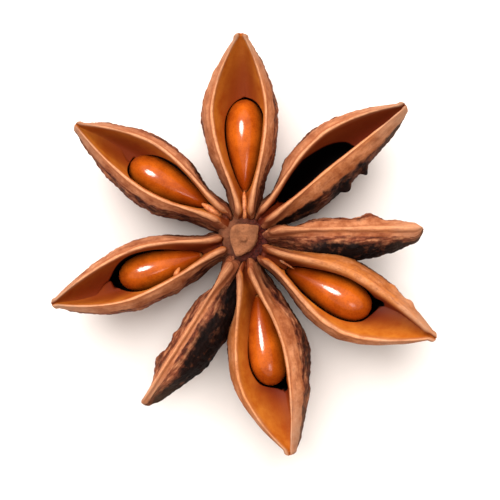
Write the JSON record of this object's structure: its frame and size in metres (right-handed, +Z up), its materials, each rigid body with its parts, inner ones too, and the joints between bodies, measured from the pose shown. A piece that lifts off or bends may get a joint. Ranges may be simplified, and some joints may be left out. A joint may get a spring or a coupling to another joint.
{
  "type": "star anise pod",
  "caption": "Dried star anise fruit lying flat: boat-shaped woody carpels round a short column, most split open along the top with a glossy seed inside, others thin and shut.",
  "frame": {"origin": "middle of the column's foot, on the surface the fruit lies on", "axes": "+Z up along the column to the open seams, +Y out along carpel_1, +X out along the shut carpel_3"},
  "size_m": [0.0336, 0.0367, 0.0083],
  "materials": {
    "carpel": "dry wrinkled skin outside, smooth satin lining inside",
    "column": "matt cork",
    "seed": "polished hard seed coat"
  },
  "bodies": {
    "root": {"column": "column", "carpel_1": "carpel", "carpel_2": "carpel", "carpel_3": "carpel", "carpel_4": "carpel", "carpel_5": "carpel", "carpel_6": "carpel", "carpel_7": "carpel", "carpel_8": "carpel", "seed_1": "seed", "seed_4": "seed", "seed_5": "seed", "seed_7": "seed", "seed_8": "seed"}
  },
  "joints": []
}
